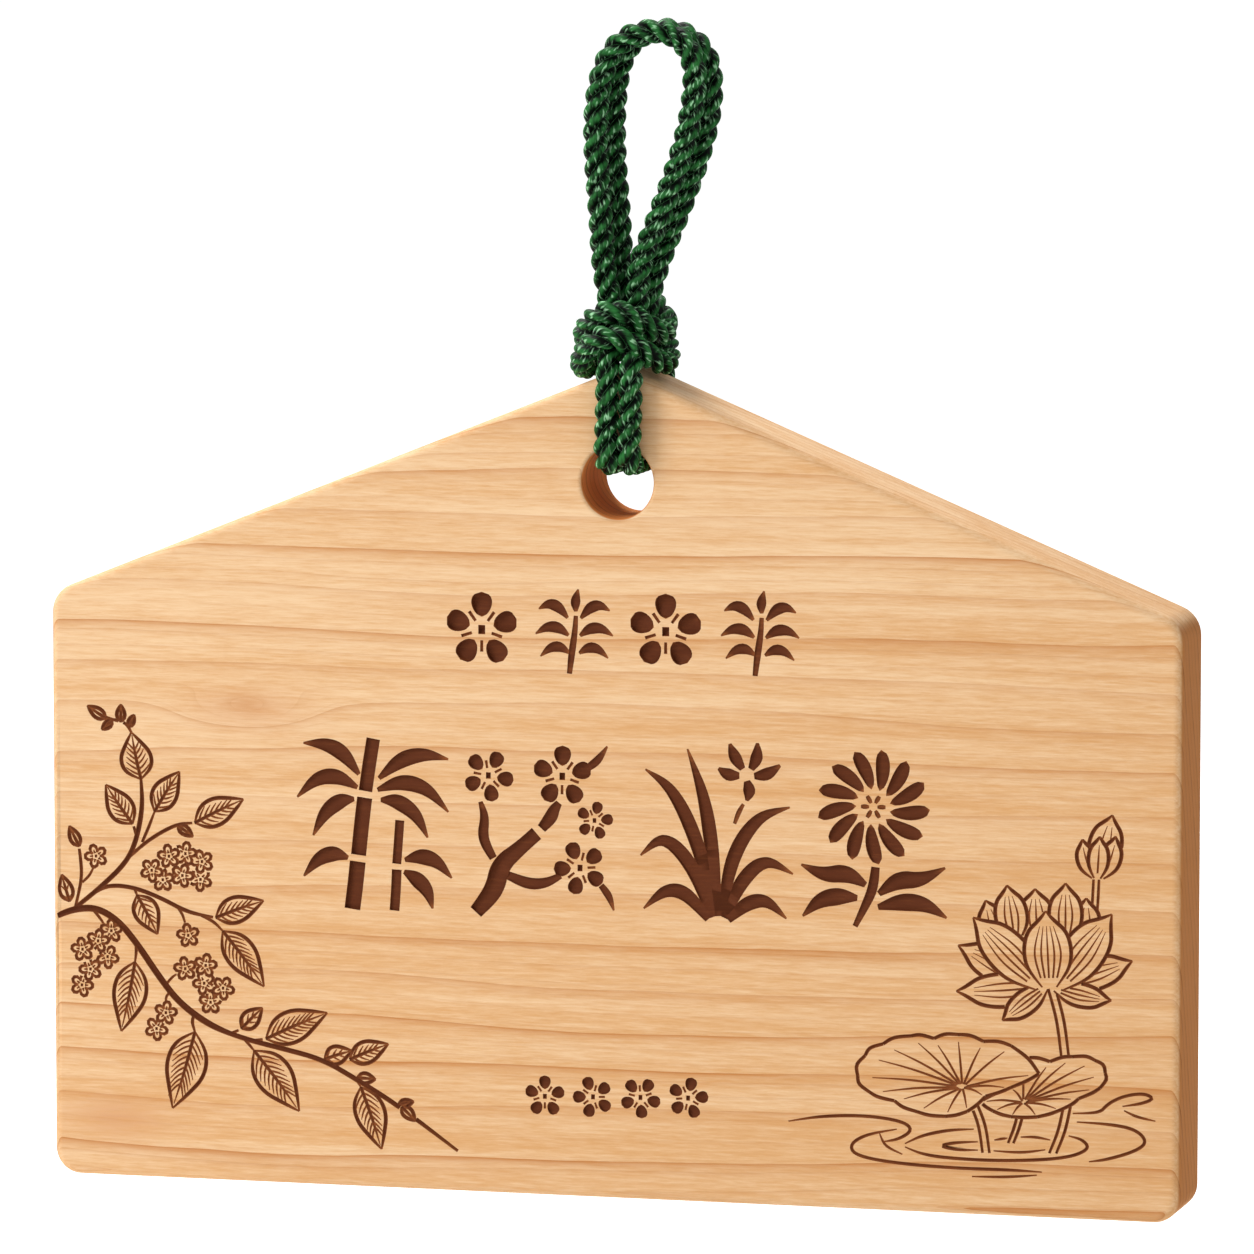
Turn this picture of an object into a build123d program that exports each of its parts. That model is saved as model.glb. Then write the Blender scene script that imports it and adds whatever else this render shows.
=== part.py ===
from build123d import *
import math
import os

# An ema plaque: a house-shaped softwood board that hangs from a doubled cord.
# Millimetres, +Z up, the front of the board faces -Y.
# The origin is the point of the hanging loop that rests on a peg.
# Heights in the routes below are measured from the apex of the board.

# Board
board_width = 140.0
side_height = 71.4
apex_rise = 28.6
apex_off_middle = 1.2
board_thickness = 12.0
shoulder_radius = 3.6
bottom_corner_radius = 3.2
apex_radius = 2.0
edge_rounding = 1.1

# Cord hole
hole_diameter = 8.8
hole_below_apex = 13.5
rim_rounding = 0.55

# Cord
cord_diameter = 2.8
cord_sides = 10
face_clearance = 0.2
bore_clearance = 0.15
rim_bend_radius = 2.2
strap_spacing = 3.0
strand_depth = 2.9
brow_height = 0.3

# Hanging loop
peg_x = 2.8
loop_top = 40.2
neck_top = 13.2
knot_top = 9.2

# Knot winding
knot_x = -0.6
knot_turns = 2
upper_half_width = 5.3
lower_half_width = 5.75
upper_depth = 5.5
lower_depth = 8.9
knot_front_top = 8.4
turn_pitch = 3.4
upper_saddle = 1.15
lower_saddle = 2.3
tail_length = 3.0

cord_radius = cord_diameter / 2
half_thickness = board_thickness / 2
apex_x = -peg_x
apex_z = cord_radius - loop_top


def place(x, y, z):
    """A point given from the apex of the board, in the frame of the part."""
    return Vector(x + apex_x, y, z + apex_z)


def make_board():
    """Five-sided board with rounded corners, a bored hole and softened edges."""
    low = apex_z - apex_rise - side_height
    shoulder = apex_z - apex_rise
    left = apex_x - apex_off_middle - board_width / 2
    right = left + board_width
    corners = [(left, low), (right, low), (right, shoulder), (apex_x, apex_z), (left, shoulder)]
    outline = Plane.XZ * make_face(Polyline(*corners, close=True))
    board = extrude(outline, board_thickness / 2, both=True)
    upright = board.edges().filter_by(Axis.Y).sort_by(Axis.Z)
    board = fillet(upright[:2], bottom_corner_radius)
    upright = board.edges().filter_by(Axis.Y).sort_by(Axis.Z)
    board = fillet(upright[-1:], apex_radius)
    shoulders = [e for e in board.edges().filter_by(Axis.Y) if abs(e.center().Z - shoulder) < 0.01]
    board = fillet(shoulders, shoulder_radius)
    front_and_back = board.faces().filter_by(Axis.Y)
    board = fillet([e for f in front_and_back for e in f.edges()], edge_rounding)
    hole_centre = place(0, 0, -hole_below_apex)
    bore = Cylinder(hole_diameter / 2, 2 * board_thickness, rotation=(90, 0, 0))
    board = board - Pos(hole_centre) * bore
    rims = board.edges().filter_by(GeomType.CIRCLE)
    rims = [e for e in rims if abs(e.radius - hole_diameter / 2) < 0.001]
    rims = [e for e in rims if abs(e.arc_center.Z - hole_centre.Z) < 0.001]
    return fillet(rims, rim_rounding)


# Route of the doubled cord's middle line, up the left leg of the loop and down the right one:
# x, height, and how far each strand stands off it in x.
loop_route = [
    (-2.10, 5.2, 0.00),
    (-2.70, 11.8, 0.75),
    (-3.25, 18.0, 0.75),
    (-3.95, 25.2, 0.75),
    (-3.95, 31.6, 0.75),
    (-2.75, 37.3, 0.50),
    (0.45, loop_top, 0.20),
    (5.15, loop_top, 0.20),
    (8.10, 37.2, 0.50),
    (8.20, 31.6, 0.75),
    (6.75, 25.4, 0.75),
    (4.30, 18.6, 0.75),
    (1.65, 11.8, 0.75),
    (0.90, 5.2, 0.00),
]


def loop_points(side):
    """One strand of the loop: side -1 is the front strand, +1 the rear one."""
    half_depth = strand_depth / 2
    return [place(x + side * dx, side * half_depth, z) for x, z, dx in loop_route]


def strap_points(end):
    """One strand of the strap, from the loop's front strand through the hole to its rear one."""
    front, rear = loop_points(-1), loop_points(1)
    side = -1 if end == 0 else 1
    x = side * strap_spacing / 2
    face = half_thickness + face_clearance + cord_radius
    reach = hole_diameter / 2 - bore_clearance - cord_radius
    cross = -hole_below_apex + math.sqrt(reach**2 - x**2)
    over = [place(x, -face, brow_height), place(x, face, brow_height)]
    under = [place(x, -face, cross), place(x, face, cross)]
    inner = 1 if end == 0 else -2
    return [front[inner], front[end], over[0], *under, over[1], rear[end], rear[inner]]


def bend_radii(points, limits=()):
    """Largest arc that each corner's two runs allow, or a smaller one where the cord is tight."""
    radii = []
    for before, here, after in zip(points, points[1:], points[2:]):
        turn = math.radians((here - before).get_angle(after - here))
        shorter = min((here - before).length, (after - here).length)
        radii.append(0.45 * shorter / math.tan(turn / 2))
    for corner, limit in limits:
        radii[corner] = min(radii[corner], limit)
    return radii


def cord_section(plane):
    """The cord's section, a many-sided figure inside its round outline."""
    return plane * RegularPolygon(cord_radius, cord_sides)


def tube(path):
    """A cord along a path."""
    section = cord_section(Plane(origin=path @ 0, z_dir=path % 0))
    return sweep(section, path=path, clean=False)


def report(name, path, solid, radii):
    """Print a cord's length, its bends and how its volume compares with section times length."""
    expected = cord_section(Plane.XY).area * path.length
    bends = ", ".join(f"{r:.1f}" for r in radii)
    print(f"{name}: {path.length:.1f} mm, volume / (section x length) {solid.volume / expected:.4f}, radii {bends}")


def slab(low, high):
    """The space between two heights, for cutting cords where two stretches meet."""
    size = 4 * board_width
    return Pos(place(0, 0, (low + high) / 2)) * Box(size, size, high - low)


def make_loop_strand(name, side):
    """One strand of the hanging loop, and its two stubs in the neck below."""
    points = loop_points(side)
    radii = bend_radii(points)
    path = FilletPolyline(*points, radius=radii)
    strand = tube(path)
    report(name, path, strand, radii)
    above = strand & slab(neck_top, 2 * loop_top)
    stubs = (strand & slab(knot_top, neck_top)).solids().sort_by(Axis.X)
    return above, stubs


def make_strap_strand(name, end):
    """One strand of the strap, cut level with the top of the knot."""
    points = strap_points(end)
    brow_bend = 1.5 * cord_diameter
    limits = [(1, brow_bend), (2, rim_bend_radius), (3, rim_bend_radius), (4, brow_bend)]
    radii = bend_radii(points, limits)
    path = FilletPolyline(*points, radius=radii)
    strand = tube(path)
    report(name, path, strand, radii)
    return strand & slab(-2 * hole_below_apex, knot_top)


def knot_point(turn):
    """A point of the knot's winding; turn 0 is at the back, and it passes the front at each half."""
    angle = 2 * math.pi * (turn - 0.5)
    down = turn / knot_turns
    half_width = upper_half_width + (lower_half_width - upper_half_width) * down
    depth = upper_depth + (lower_depth - upper_depth) * down
    saddle = upper_saddle + (lower_saddle - upper_saddle) * down
    height = knot_front_top - upper_saddle - turn_pitch * (turn - 0.5) + saddle * math.cos(2 * angle)
    return place(knot_x - half_width * math.sin(angle), -depth * math.cos(angle), height)


def knot_direction(turn):
    """Unit tangent of the winding."""
    step = 0.001
    return (knot_point(turn + step) - knot_point(turn - step)).normalized()


def biarc(start, start_way, end, end_way):
    """Two arcs that share a tangent where they meet, between two points with given directions."""
    span = end - start
    ways = start_way + end_way
    a = 2 * (1 - start_way.dot(end_way))
    b = 2 * span.dot(ways)
    reach = (math.sqrt(b * b + 4 * a * span.dot(span)) - b) / (2 * a)
    joint = (start + end + (start_way - end_way) * reach) * 0.5
    first = Edge.make_tangent_arc(start, start_way, joint)
    second = Edge.make_tangent_arc(joint, first % 1, end)
    return [first, second]


def make_knot():
    """Two saddle-shaped turns round the neck of the cord, astride the apex, with straight tails."""
    quarters = [n / 4 for n in range(4 * knot_turns + 1)]
    edges = []
    for here, there in zip(quarters, quarters[1:]):
        edges += biarc(knot_point(here), knot_direction(here), knot_point(there), knot_direction(there))
    start, end = edges[0] @ 0, edges[-1] @ 1
    first_tail = Edge.make_line(start - (edges[0] % 0) * tail_length, start)
    last_tail = Edge.make_line(end, end + (edges[-1] % 1) * tail_length)
    path = Wire([first_tail, *edges, last_tail])
    knot = tube(path)
    arcs = [e.radius for e in edges]
    report("cord_knot", path, knot, arcs)
    print(f"cord_knot least gap to itself {self_gap(path):.2f} mm")
    return knot


def self_gap(path):
    """Least gap between stretches of a winding that lie more than three diameters apart along it."""
    count = 400
    spots = [path @ (n / count) for n in range(count + 1)]
    step = path.length / count
    skip = math.ceil(3 * cord_diameter / step)
    pairs = ((a, b) for a in range(count + 1) for b in range(a + skip, count + 1))
    return min((spots[a] - spots[b]).length for a, b in pairs) - cord_diameter


os.makedirs("parts", exist_ok=True)
front_loop, front_stubs = make_loop_strand("cord_loop_front", -1)
rear_loop, rear_stubs = make_loop_strand("cord_loop_rear", 1)
pieces = {
    "board": make_board(),
    "cord_strap_left": make_strap_strand("cord_strap_left", 0),
    "cord_strap_right": make_strap_strand("cord_strap_right", -1),
    "cord_neck_left": Compound([front_stubs[0], rear_stubs[0]]),
    "cord_neck_right": Compound([front_stubs[1], rear_stubs[1]]),
    "cord_loop_front": front_loop,
    "cord_loop_rear": rear_loop,
    "cord_knot": make_knot(),
}
for name, piece in pieces.items():
    export_step(piece, f"parts/{name}.step")
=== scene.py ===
# %% [markdown]
# # Ema plaque
# A votive plaque: a house-shaped softwood board, carved on its front, which hangs from a doubled green cord.
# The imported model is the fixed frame. Every piece below is made in that frame, in metres, so nothing is
# fitted later.

# %% Load the frame
import math

import bpy
import numpy as np
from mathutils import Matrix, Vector


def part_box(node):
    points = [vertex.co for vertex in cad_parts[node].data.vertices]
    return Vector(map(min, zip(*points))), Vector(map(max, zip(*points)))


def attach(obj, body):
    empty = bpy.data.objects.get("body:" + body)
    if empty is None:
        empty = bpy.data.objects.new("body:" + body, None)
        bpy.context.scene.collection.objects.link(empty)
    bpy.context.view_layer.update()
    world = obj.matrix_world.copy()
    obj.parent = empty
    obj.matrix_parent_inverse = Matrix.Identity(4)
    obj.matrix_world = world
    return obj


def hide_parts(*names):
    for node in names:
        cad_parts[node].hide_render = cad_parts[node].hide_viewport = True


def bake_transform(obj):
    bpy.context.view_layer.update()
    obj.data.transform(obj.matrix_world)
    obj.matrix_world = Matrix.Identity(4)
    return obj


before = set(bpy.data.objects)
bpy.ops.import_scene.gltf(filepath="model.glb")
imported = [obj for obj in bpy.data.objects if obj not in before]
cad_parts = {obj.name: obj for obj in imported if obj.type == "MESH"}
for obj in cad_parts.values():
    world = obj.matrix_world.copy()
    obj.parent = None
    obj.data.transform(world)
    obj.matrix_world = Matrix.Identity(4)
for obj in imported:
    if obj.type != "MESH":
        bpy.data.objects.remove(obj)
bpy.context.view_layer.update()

MM = 0.001
board_low, board_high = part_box("board")
front_y = board_low.y
half_thickness = (board_high.y - board_low.y) / 2
print("board", [round(v / MM, 1) for v in board_high - board_low], "mm")

# %% [markdown]
# ## Camera
# The photograph looks at the plaque from a little to its right and a little above, through a long lens. A
# camera can be aimed with a constraint, but a fixed place and turn needs no helper object, so the way back
# from the aim is worked out from the two angles, and the lens from the number of pixels in a millimetre.

# %% Place the camera
CAMERA_AZIMUTH = math.radians(15.0)
CAMERA_ELEVATION = math.radians(6.3)
CAMERA_DISTANCE = 1.10
PHOTO_PIXELS = 1254
PIXELS_PER_MM = 8.332
AIM = Vector((-0.00318, 0.0, -0.07026))

way_back = Vector((
    math.sin(CAMERA_AZIMUTH) * math.cos(CAMERA_ELEVATION),
    -math.cos(CAMERA_AZIMUTH) * math.cos(CAMERA_ELEVATION),
    math.sin(CAMERA_ELEVATION),
))
camera = bpy.data.objects.new("camera", bpy.data.cameras.new("camera"))
camera.location = AIM + way_back * CAMERA_DISTANCE
camera.rotation_euler = way_back.to_track_quat("Z", "Y").to_euler()
camera.data.sensor_width = 36.0
camera.data.lens = camera.data.sensor_width * PIXELS_PER_MM / MM * CAMERA_DISTANCE / PHOTO_PIXELS
camera.data.clip_end = 50.0
bpy.context.scene.collection.objects.link(camera)
bpy.context.scene.camera = camera
bpy.context.scene.view_settings.view_transform = "Standard"
print("lens", round(camera.data.lens), "mm")

# %% [markdown]
# ## Cord route
# One cord goes up from the knot as the front strand of the loop, down through the hole as the left strand of
# the strap, up again as the rear strand of the loop and down through the hole as the right strand. Its line
# is one NURBS spline whose control points are listed, so it bends as a limp cord does. The rope is
# then laid on points read from that spline.

# %% Points of the cord, in millimetres from the apex of the board
CORD_DIAMETER = 3.0
APEX_X = -2.8
APEX_HEIGHT = 100.0
APEX = Vector((APEX_X * MM, 0.0, board_low.z + APEX_HEIGHT * MM))
NECK_TOP = 13.2
STRAND_DEPTH = 1.45
FACE_GAP = 0.2
FACE_RUN = half_thickness / MM + FACE_GAP + CORD_DIAMETER / 2
STRAP_X = (-1.04, 1.78)
# Loop: x and z between the two strands, and how far each lies to its own side of that.
loop_route = [
    (-1.52, 5.2, 0.00),
    (-2.20, 11.8, 0.75),
    (-2.50, 18.0, 0.75),
    (-3.15, 25.2, 0.75),
    (-3.15, 31.6, 0.75),
    (-1.95, 37.3, 0.50),
    (1.25, 40.1, 0.20),
    (5.95, 40.1, 0.20),
    (8.90, 37.1, 0.50),
    (9.00, 31.6, 0.75),
    (7.50, 25.4, 0.75),
    (4.95, 18.6, 0.75),
    (2.10, 11.8, 0.75),
    (1.22, 5.2, 0.00),
]
# Strap: the lean to the right, the share of the way out to a face of the board, and z.
strap_route = [
    (0.36, 1.0, 0.3),
    (0.24, 1.0, -6.8),
    (0.00, 1.0, -11.2),
    (0.00, 0.42, -11.2),
    (0.00, -0.42, -11.2),
    (0.00, -1.0, -11.2),
    (0.24, -1.0, -6.8),
    (0.36, -1.0, 0.3),
]
# Seam: x and z on the front strand, above, at and below the top of the neck.
seam_route = [(2.42, 14.3), (1.95, 13.2), (1.48, 12.1)]


def from_apex(x, y, z):
    """A point given in millimetres from the apex, in the frame."""
    return APEX + Vector((x, y, z)) * MM


def loop_points(side):
    """One strand of the loop, up its left leg and down its right one: side -1 is the front strand."""
    return [from_apex(x + side * dx, side * STRAND_DEPTH, z) for x, z, dx in loop_route]


def strap_points(x, side):
    """One strand of the strap, from the face on one side of the board through the hole to the other."""
    return [from_apex(x + lean, side * FACE_RUN * share, z) for lean, share, z in strap_route]


front_strand, rear_strand = loop_points(-1), loop_points(1)
seam_above, seam, seam_below = [from_apex(x, -STRAND_DEPTH, z) for x, z in seam_route]
cord_route = [seam, seam_above] + front_strand[-3::-1] + strap_points(STRAP_X[0], -1)
cord_route += rear_strand + strap_points(STRAP_X[1], 1) + [front_strand[-1], seam_below, seam]
print("cord route", len(cord_route), "points")

# %% [markdown]
# The knot is two turns of the same cord, wound round the four strands astride the apex. Each turn dips at the
# sides, where it sits on the slopes of the board, and rises at the front and back. A plain ring with a
# pattern would not show the rope going over itself, so its line is worked out point by point in a loop. The
# first and last points are listed: at the back, each end is tucked under the turn next to it.

# %% Points of the knot
KNOT_X = -0.5
KNOT_TURNS = 2
KNOT_POINTS_PER_TURN = 16
KNOT_HALF_WIDTH = (4.75, 5.15)
KNOT_HALF_DEPTH = (5.2, 8.7)
KNOT_SADDLE = (1.5, 2.3)
KNOT_FRONT = 6.8
KNOT_TILT = 0.1
KNOT_PITCH = 3.2


def between(pair, share):
    """A value on the way from the first of a pair to the second."""
    return pair[0] + (pair[1] - pair[0]) * share


def knot_point(turn):
    """A point of the winding: turn 0 is at the back, and each half turn further is at the front."""
    angle = 2 * math.pi * (turn - 0.5)
    share = turn / KNOT_TURNS
    aside = -between(KNOT_HALF_WIDTH, share) * math.sin(angle)
    height = KNOT_FRONT - KNOT_SADDLE[0] - KNOT_PITCH * (turn - 0.5) - KNOT_TILT * aside
    return from_apex(
        KNOT_X + aside,
        -between(KNOT_HALF_DEPTH, share) * math.cos(angle),
        height + between(KNOT_SADDLE, share) * math.cos(2 * angle),
    )


def placed(points):
    """Points given in millimetres from the apex, in the frame."""
    return [from_apex(*point) for point in points]


first_tuck = [(-1.4, -1.2, 1.9), (-3.0, 1.7, 2.2), (-4.2, 4.0, 4.2), (-3.0, 5.0, 7.0), (-1.0, 5.3, 8.0)]
last_tuck = [(1.0, 8.1, 3.2), (2.9, 6.3, 4.0), (3.3, 3.9, 5.7)]
steps = range(1, KNOT_TURNS * KNOT_POINTS_PER_TURN)
winding = [knot_point(step / KNOT_POINTS_PER_TURN) for step in steps]
knot_route = placed(first_tuck) + winding + placed(last_tuck)
print("knot route", len(knot_route), "points")

# %% [markdown]
# ## Laid rope
# The cord is three strands twisted together. A plain tube with a bump map would have a smooth outline, so the
# lobes are real: a three-lobed section is carried along the line and turned once in each lay. The frame is
# carried along the line with as little turning as possible, so the lay stays even round the bends.

# %% Rope helpers
ROPE_STRANDS = 3
ROPE_LAY = 6.6 * MM
ROPE_STEP = 0.22 * MM
STRAND_SIDES = 12
LOBE_RADIUS = 0.49


def spline_points(name, route):
    """Evenly spaced points read from a NURBS spline with the control points of a route."""
    curve = bpy.data.curves.new(name, "CURVE")
    curve.dimensions = "3D"
    curve.resolution_u = 24
    spline = curve.splines.new("NURBS")
    spline.points.add(len(route) - 1)
    for point, place in zip(spline.points, route):
        point.co = (*place, 1.0)
    spline.order_u = 3
    spline.use_endpoint_u = True
    line = bpy.data.objects.new(name, curve)
    bpy.context.scene.collection.objects.link(line)
    bpy.context.view_layer.update()
    mesh = bpy.data.meshes.new_from_object(line.evaluated_get(bpy.context.evaluated_depsgraph_get()))
    spots = np.array([v.co for v in mesh.vertices])
    bpy.data.objects.remove(line)
    bpy.data.meshes.remove(mesh)
    along = np.r_[0, np.cumsum(np.linalg.norm(np.diff(spots, axis=0), axis=1))]
    wanted = np.linspace(0, along[-1], int(along[-1] / ROPE_STEP))
    return np.stack([np.interp(wanted, along, spots[:, axis]) for axis in range(3)], axis=1), wanted


def carried_frames(spots):
    """Two directions square to the line at each of its points, turning as little as they can."""
    tangents = np.gradient(spots, axis=0)
    tangents /= np.linalg.norm(tangents, axis=1)[:, None]
    # Any direction that does not lie along the first tangent will do to start from.
    side = np.cross(tangents[0], (0.0, 1.0, 0.3))
    sides = []
    for tangent in tangents:
        side = side - tangent * (side @ tangent)
        side = side / np.linalg.norm(side)
        sides.append(side)
    sides = np.array(sides)
    return sides, np.cross(tangents, sides)


def lay_turns(along, sides, fronts):
    """The turn of the lay at each point, stretched a little so that the strands meet at the seam."""
    closing = math.atan2(sides[0] @ fronts[-1], sides[0] @ sides[-1])
    strand_turn = 2 * math.pi / ROPE_STRANDS
    whole = round((2 * math.pi * along[-1] / ROPE_LAY - closing) / strand_turn) * strand_turn + closing
    return whole * along / along[-1]


def lobe_profile():
    """Angles round the rope, the reach at each as a share of its radius, and the place across a strand."""
    across = np.linspace(-1, 1, STRAND_SIDES, endpoint=False) + 1 / STRAND_SIDES
    angle = across * math.pi / ROPE_STRANDS
    offset = 1 - LOBE_RADIUS
    out = offset * np.cos(angle) + np.sqrt(LOBE_RADIUS**2 - (offset * np.sin(angle)) ** 2)
    turns = np.arange(ROPE_STRANDS) * 2 * math.pi / ROPE_STRANDS
    angles = (turns[:, None] + angle[None]).ravel()
    return angles, np.tile(out, ROPE_STRANDS), np.tile(across, ROPE_STRANDS)


def lay_rope(name, spots, along, sides, fronts, turns):
    """A closed three-lobed rope along points of a line, with its strands marked along and across."""
    angles, out, across = lobe_profile()
    turn = angles[None] + turns[:, None]
    reach = CORD_DIAMETER / 2 * MM * out[None]
    ring = spots[:, None] + sides[:, None] * (reach * np.cos(turn))[..., None]
    ring = ring + fronts[:, None] * (reach * np.sin(turn))[..., None]
    rows, columns = ring.shape[:2]
    points = np.concatenate([ring.reshape(-1, 3), spots[:1], spots[-1:]])
    faces = []
    for row in range(rows - 1):
        here, there = row * columns, (row + 1) * columns
        for column in range(columns):
            beside = (column + 1) % columns
            faces.append((here + column, here + beside, there + beside, there + column))
    last, first_cap, last_cap = (rows - 1) * columns, rows * columns, rows * columns + 1
    for column in range(columns):
        beside = (column + 1) % columns
        faces.append((beside, column, first_cap))
        faces.append((last + column, last + beside, last_cap))
    mesh = bpy.data.meshes.new(name)
    mesh.from_pydata(points.tolist(), [], faces)
    strand = mesh.attributes.new("strand_across", "FLOAT", "POINT")
    strand.data.foreach_set("value", np.r_[np.tile(across, rows), 0, 0].astype(np.float32))
    length = mesh.attributes.new("length_along", "FLOAT", "POINT")
    reached = np.r_[np.repeat(along, columns), along[0], along[-1]] / MM
    length.data.foreach_set("value", reached.astype(np.float32))
    mesh.polygons.foreach_set("use_smooth", [True] * len(mesh.polygons))
    mesh.update()
    rope = bpy.data.objects.new(name, mesh)
    bpy.context.scene.collection.objects.link(rope)
    return rope


print("rope of", ROPE_STRANDS, "strands,", CORD_DIAMETER, "mm over their crowns")

# %% [markdown]
# The ring of cord could be laid as four separate ropes, but the strands would not meet at the joins. It is
# laid once, so the lay runs on all the way round, and then parted at the top of the neck, because the loop
# and the strap ride on different bodies. The seam of the ring lies just there, so its two ends are given one
# by one.

# %% Lay the cord and part it at the neck
SEAM_POINTS = 3
cord_line, cord_along = spline_points("cord_line", cord_route)
cord_sides, cord_fronts = carried_frames(cord_line)
cord_turns = lay_turns(cord_along, cord_sides, cord_fronts)
over_neck = cord_line[:, 2] > APEX.z + NECK_TOP * MM
over_neck[:SEAM_POINTS], over_neck[-SEAM_POINTS:] = True, False
partings = np.flatnonzero(np.diff(over_neck.astype(int))) + 1
ends = [0, *partings.tolist(), len(cord_line) - 1]
ropes = {}
lines = {}
for name, start, end in zip(["loop_front", "strap_left", "loop_rear", "strap_right"], ends, ends[1:]):
    run = slice(start, end + 1)
    lines[name] = cord_line[run]
    marks = [values[run] for values in (cord_line, cord_along, cord_sides, cord_fronts, cord_turns)]
    ropes[name] = lay_rope("rope_" + name, *marks)
    long = (cord_along[end] - cord_along[start]) / MM
    print(name, round(long, 1), "mm,", len(ropes[name].data.polygons), "faces")

# %% [markdown]
# The knot is the same rope on its own line. It does not close, so its lay needs no stretching.

# %% Wind the knot
knot_line, knot_along = spline_points("knot_line", knot_route)
knot_turns = 2 * math.pi * knot_along / ROPE_LAY
lines["knot"] = knot_line
ropes["knot"] = lay_rope("rope_knot", knot_line, knot_along, *carried_frames(knot_line), knot_turns)
print("knot", round(knot_along[-1] / MM, 1), "mm,", len(ropes["knot"].data.polygons), "faces")

# %% [markdown]
# ## Shading with sums
# A shader is easier to read as a sum than as a list of links. One small class wraps a socket, so that sockets
# can be added and multiplied, and one method adds any other node.


# %% Sockets that can be used in sums
class Field:
    """A shader socket with the arithmetic of a number."""

    def __init__(self, socket):
        self.socket = socket
        self.tree = socket.id_data

    def add(self, kind, settings, sockets, output=0):
        """Another node in the same tree: its settings first, then the values or links of its sockets."""
        node = self.tree.nodes.new(kind)
        for name, value in settings.items():
            setattr(node, name, value)
        for name, value in sockets.items():
            if isinstance(value, Field):
                self.tree.links.new(value.socket, node.inputs[name])
            else:
                node.inputs[name].default_value = value
        return Field(node.outputs[output])

    def sum(self, operation, first, second=0.0):
        """One Math node."""
        return self.add("ShaderNodeMath", {"operation": operation}, {0: first, 1: second})

    def __add__(self, other):
        return self.sum("ADD", self, other)

    def __sub__(self, other):
        return self.sum("SUBTRACT", self, other)

    def __rsub__(self, other):
        return self.sum("SUBTRACT", other, self)

    def __mul__(self, other):
        return self.sum("MULTIPLY", self, other)

    def __truediv__(self, other):
        return self.sum("DIVIDE", self, other)

    def __pow__(self, other):
        return self.sum("POWER", self, other)

    __radd__ = __add__
    __rmul__ = __mul__

    def fade(self, low, high):
        """A soft step from 0 at the low value to 1 at the high one."""
        settings = {"interpolation_type": "SMOOTHSTEP"}
        return self.add("ShaderNodeMapRange", settings, {"Value": self, "From Min": low, "From Max": high})

    def tint(self, low, high):
        """A colour on the way from the first to the second."""
        settings = {"data_type": "RGBA"}
        return self.add("ShaderNodeMix", settings, {0: self, 6: low, 7: high}, 2)


def colour(red, green, blue):
    """A colour as it is read from a screen, in 0 to 255, as the shader wants it."""
    shares = [v / 255 for v in (red, green, blue)]
    return [v / 12.92 if v <= 0.04045 else ((v + 0.055) / 1.055) ** 2.4 for v in shares] + [1.0]


def new_material(name):
    """A material with its shader, and the place on the object in millimetres."""
    material = bpy.data.materials.new(name)
    material.use_nodes = True
    shader = material.node_tree.nodes["Principled BSDF"]
    coordinates = material.node_tree.nodes.new("ShaderNodeTexCoord")
    place = Field(coordinates.outputs["Object"])
    place = place.add("ShaderNodeVectorMath", {"operation": "SCALE"}, {0: place, "Scale": 1 / MM})
    return material, shader, place


def feed(shader, name, field):
    """Link a field to one of the shader's sockets."""
    field.tree.links.new(field.socket, shader.inputs[name])


def noise(place, scales, detail=2.0, roughness=0.5):
    """Noise about its middle value, -0.5 to 0.5, with its own scale along each axis."""
    stretched = place.add("ShaderNodeVectorMath", {"operation": "MULTIPLY"}, {0: place, 1: scales})
    sockets = {"Vector": stretched, "Scale": 1.0, "Detail": detail, "Roughness": roughness}
    return place.add("ShaderNodeTexNoise", {}, sockets) - 0.5


print("shading helpers ready")

# %% [markdown]
# ## Wood
# The board is a slow-grown softwood, sawn so that its rings cross the front as nearly level lines and show as
# steep streaks on the sides. A flat picture of grain would not turn the corner, so the rings are a solid
# pattern: one ring number for every place, from its height and depth, bent by slow noise.


# %% Wood material
HOLE_BELOW_APEX = 13.5
# The colour of the bored wall fades out between these two radii.
HOLE_WALL = (4.42, 4.56)
RING_HEIGHT = 5.2
RING_DEPTH = 1.8
FLAME_PLACE = (-49.0, -81.0)
FLAME_SIZE = (8.0, 2.6)
SMUDGE_PLACE = (-66.0, -131.5)
SMUDGE_SIZE = (7.0, 2.6)


def patch(x, z, place, size):
    """A soft patch on the face: 1 in its middle, and fading out over its size."""
    away = -1.0 * ((x - place[0]) / size[0]) ** 2.0 - ((z - place[1]) / size[1]) ** 2.0
    return away.sum("EXPONENT", away)


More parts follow.
